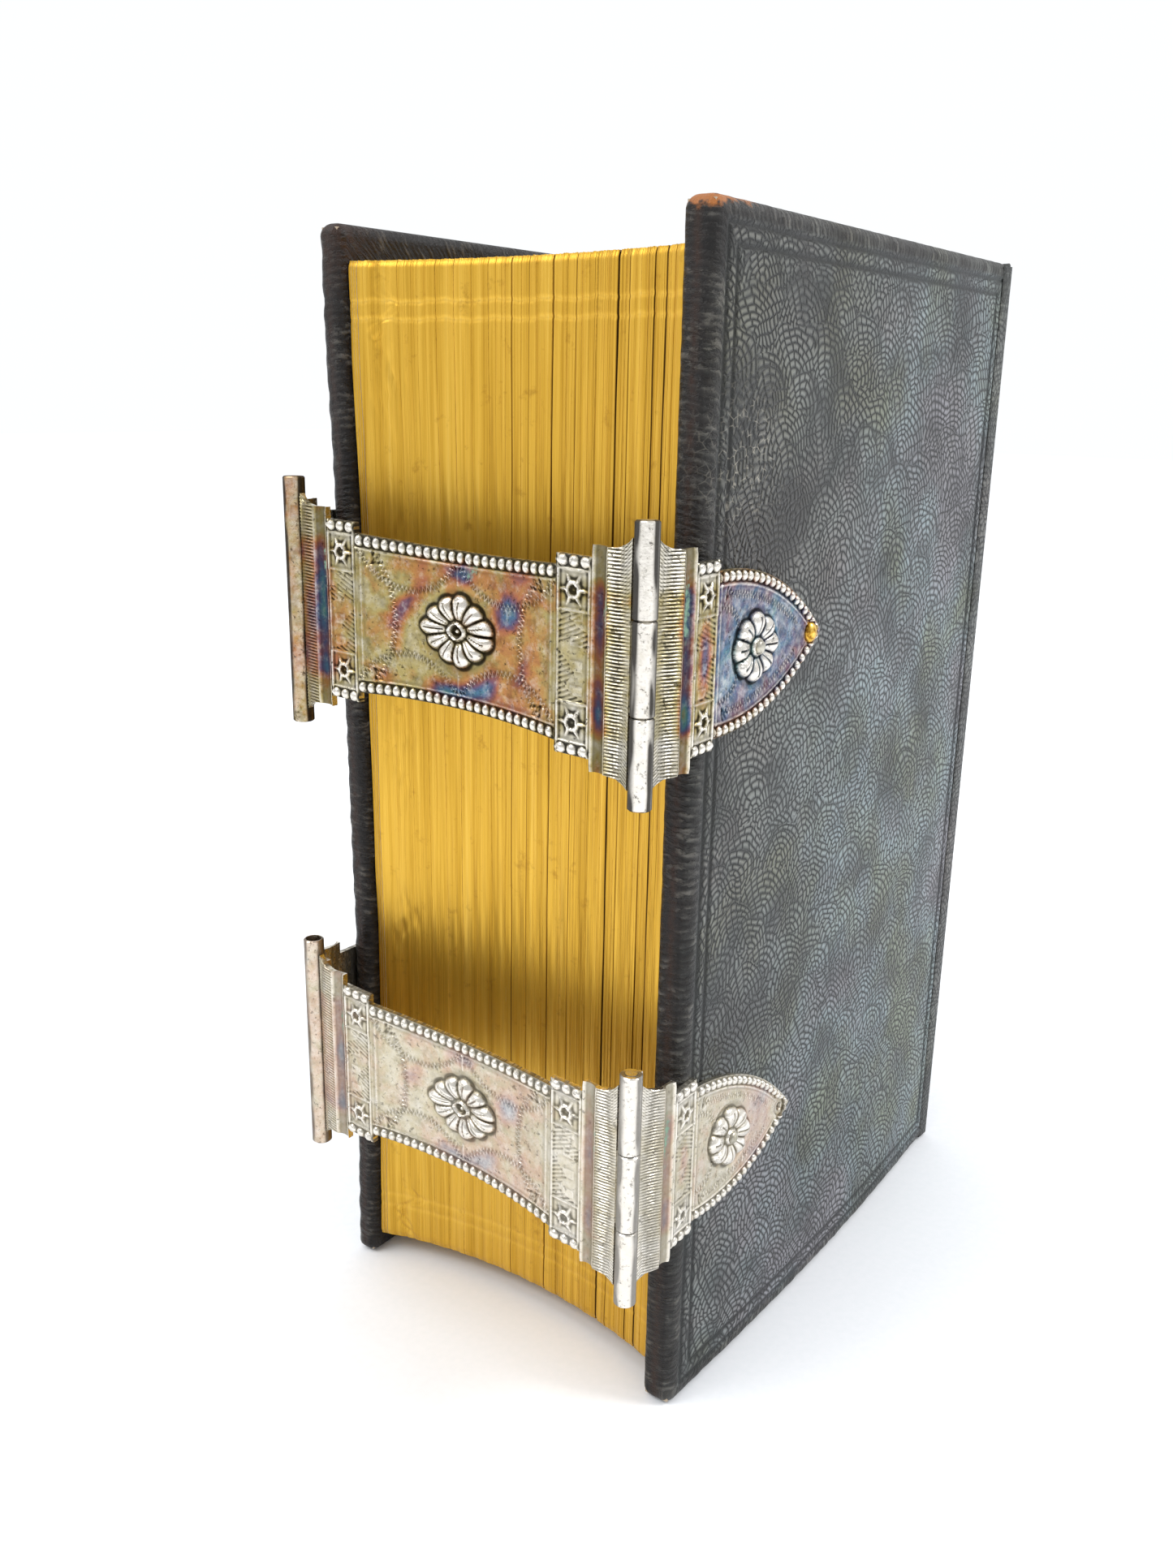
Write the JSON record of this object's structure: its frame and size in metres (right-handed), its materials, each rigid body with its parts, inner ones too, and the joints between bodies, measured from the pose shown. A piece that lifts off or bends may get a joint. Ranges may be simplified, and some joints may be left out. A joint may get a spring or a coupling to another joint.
{
  "type": "prayer book",
  "caption": "Pocket prayer book in dark embossed leather with gilt fore-edge, swinging covers and engraved silver clasps with hinged straps.",
  "frame": {"origin": "middle of the book's footprint, on the surface that it stands on by its tail", "axes": "+Z from tail to head, +Y from fore-edge to spine, +X from front cover to back cover"},
  "size_m": [0.056, 0.0968, 0.14],
  "materials": {
    "book_paper": "laid rag paper with gilt edges",
    "end_paper": "plain laid end paper, aged",
    "embossed_leather": "dark goatskin, embossed and polished",
    "pasteboard": "pasteboard",
    "headband_silk": "silk over cord",
    "linen_tape": "woven linen",
    "linen_thread": "linen thread",
    "lining_paper": "coarse lining paper",
    "brass_pin": "polished brass",
    "silver_wire": "worn silver",
    "tarnished_silver": "pressed silver with rainbow tarnish"
  },
  "bodies": {
    "text_block": {"gathering_01": "book_paper", "gathering_02": "book_paper", "gathering_03": "book_paper", "gathering_04": "book_paper", "gathering_05": "book_paper", "gathering_06": "book_paper", "gathering_07": "book_paper", "gathering_08": "book_paper", "gathering_09": "book_paper", "gathering_10": "book_paper", "gathering_11": "book_paper", "gathering_12": "book_paper", "gathering_13": "book_paper", "gathering_14": "book_paper", "gathering_15": "book_paper", "gathering_16": "book_paper", "gathering_17": "book_paper", "gathering_18": "book_paper", "gathering_19": "book_paper", "gathering_20": "book_paper", "head_headband": "headband_silk", "sewing_tapes": "linen_tape", "sewing_threads": "linen_thread", "spine_leather": "embossed_leather", "spine_lining": "lining_paper", "tail_headband": "headband_silk"},
    "front_cover": {"front_board": "pasteboard", "front_cover_leather": "embossed_leather", "front_pastedown": "end_paper", "upper_catch_plate": "tarnished_silver", "lower_catch_plate": "tarnished_silver", "front_tip_pins": "brass_pin", "front_flower_rivets": "silver_wire"},
    "back_cover": {"back_board": "pasteboard", "back_cover_leather": "embossed_leather", "back_pastedown": "end_paper", "upper_hinge_plate": "tarnished_silver", "lower_hinge_plate": "tarnished_silver", "upper_hinge_pin": "silver_wire", "lower_hinge_pin": "silver_wire", "back_tip_pin": "brass_pin", "back_flower_rivets": "silver_wire"},
    "upper_strap": {"upper_strap": "tarnished_silver"},
    "lower_strap": {"lower_strap": "tarnished_silver"},
    "front_flyleaf": {"front_flyleaf": "end_paper"},
    "front_endleaf": {"front_endleaf": "book_paper"},
    "front_second_leaf": {"front_second_leaf": "book_paper"},
    "back_flyleaf": {"back_flyleaf": "end_paper"},
    "back_endleaf": {"back_endleaf": "book_paper"},
    "back_second_leaf": {"back_second_leaf": "book_paper"}
  },
  "joints": [
    {"name": "front_cover_swing", "type": "hinge", "parent": "text_block", "child": "front_cover", "pos_m": [-0.02635, 0.04245, 0.07], "axis": [0, 0, -1], "range_deg": [0, 175]},
    {"name": "back_cover_swing", "type": "hinge", "parent": "text_block", "child": "back_cover", "pos_m": [0.02635, 0.04245, 0.07], "axis": [0, 0, 1], "range_deg": [0, 175]},
    {"name": "upper_strap_swing", "type": "hinge", "parent": "back_cover", "child": "upper_strap", "pos_m": [0.0249, -0.04715, 0.0948], "axis": [0, 0, 1], "range_deg": [0, 210]},
    {"name": "lower_strap_swing", "type": "hinge", "parent": "back_cover", "child": "lower_strap", "pos_m": [0.0249, -0.04715, 0.0349], "axis": [0, 0, 1], "range_deg": [0, 210]},
    {"name": "front_flyleaf_turn", "type": "hinge", "parent": "text_block", "child": "front_flyleaf", "pos_m": [-0.02205, 0.03945, 0.0694], "axis": [0, 0, -1], "range_deg": [0, 95]},
    {"name": "front_endleaf_turn", "type": "hinge", "parent": "text_block", "child": "front_endleaf", "pos_m": [-0.0218, 0.0392, 0.0694], "axis": [0, 0, -1], "range_deg": [0, 88]},
    {"name": "front_second_leaf_turn", "type": "hinge", "parent": "text_block", "child": "front_second_leaf", "pos_m": [-0.02155, 0.03895, 0.0694], "axis": [0, 0, -1], "range_deg": [0, 80]},
    {"name": "back_flyleaf_turn", "type": "hinge", "parent": "text_block", "child": "back_flyleaf", "pos_m": [0.02205, 0.03945, 0.0694], "axis": [0, 0, 1], "range_deg": [0, 95]},
    {"name": "back_endleaf_turn", "type": "hinge", "parent": "text_block", "child": "back_endleaf", "pos_m": [0.0218, 0.0392, 0.0694], "axis": [0, 0, 1], "range_deg": [0, 88]},
    {"name": "back_second_leaf_turn", "type": "hinge", "parent": "text_block", "child": "back_second_leaf", "pos_m": [0.02155, 0.03895, 0.0694], "axis": [0, 0, 1], "range_deg": [0, 80]}
  ],
  "couplings": [
    {"joint": "front_flyleaf_turn", "follows": "front_cover_swing", "ratio": 0.5428},
    {"joint": "front_endleaf_turn", "follows": "front_cover_swing", "ratio": 0.5028},
    {"joint": "front_second_leaf_turn", "follows": "front_cover_swing", "ratio": 0.45709},
    {"joint": "back_flyleaf_turn", "follows": "back_cover_swing", "ratio": 0.5428},
    {"joint": "back_endleaf_turn", "follows": "back_cover_swing", "ratio": 0.5028},
    {"joint": "back_second_leaf_turn", "follows": "back_cover_swing", "ratio": 0.45709}
  ]
}
